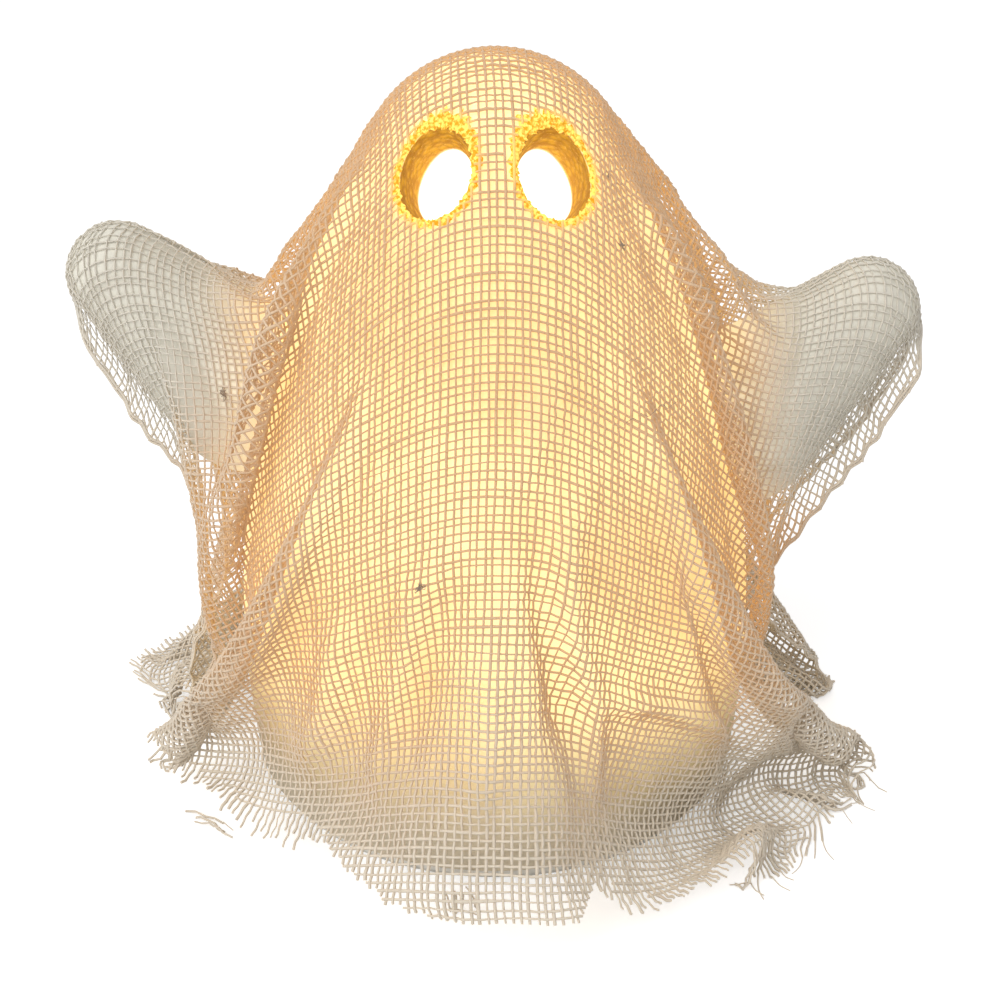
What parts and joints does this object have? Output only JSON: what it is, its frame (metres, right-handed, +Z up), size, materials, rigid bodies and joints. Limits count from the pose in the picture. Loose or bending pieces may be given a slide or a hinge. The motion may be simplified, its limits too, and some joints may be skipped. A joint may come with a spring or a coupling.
{
  "type": "lit gauze ghost figure",
  "caption": "Standing ghost decoration: a hollow foam bell lit from inside, with raised arms, leaning eye holes and a draped open-weave gauze cover over a battery base.",
  "frame": {"origin": "centre of the foot ring where it rests on the table", "axes": "+Z up, the face looks along -Y, +X towards the arm on the viewer's right"},
  "size_m": [0.165, 0.1363, 0.1457],
  "materials": {
    "gauze": "open weave of soft cotton threads, cream",
    "lit_foam": "translucent foam glowing warm yellow",
    "arm_foam": "unlit off-white foam",
    "dowel_wood": "plain birch",
    "foot_pad": "soft foamed ring",
    "tray_plastic": "moulded, fine grain",
    "cell_sleeve": "plain printed sleeve, no lettering",
    "contact_metal": "nickel plated",
    "switch_case": "pressed can",
    "switch_black": "ribbed",
    "screw_steel": "zinc plated",
    "board_resin": "white solder mask",
    "diode_lens": "clear warm lens",
    "chip_black": "small chip",
    "diffuser_plastic": "milky, lit from inside",
    "lead_red": "insulated wire",
    "lead_black": "insulated wire"
  },
  "bodies": {
    "ghost": {"gauze_cover": "gauze", "foam_body": "lit_foam", "left_arm": "arm_foam", "right_arm": "arm_foam", "left_arm_dowel": "dowel_wood", "right_arm_dowel": "dowel_wood", "foot_ring": "foot_pad", "base_tray": "tray_plastic", "battery_cells": "cell_sleeve", "positive_contact": "contact_metal", "negative_contact": "contact_metal", "link_contacts": "contact_metal", "switch_body": "switch_case", "switch_screws": "screw_steel", "circuit_board": "board_resin", "board_screws": "screw_steel", "light_diodes": "diode_lens", "resistors": "chip_black", "diffuser": "diffuser_plastic", "diffuser_screws": "screw_steel", "red_lead": "lead_red", "black_lead": "lead_black", "switch_lead": "lead_red"},
    "door": {"battery_door": "tray_plastic"},
    "knob": {"switch_knob": "switch_black"}
  },
  "joints": [
    {"name": "door_hinge", "type": "hinge", "parent": "ghost", "child": "door", "pos_m": [0, 0.01625, 0.0031], "axis": [1, 0, 0], "range_deg": [0, 95]},
    {"name": "switch_slide", "type": "slide", "parent": "ghost", "child": "knob", "axis": [1, 0, 0], "range_m": [0, 0.0035]}
  ]
}
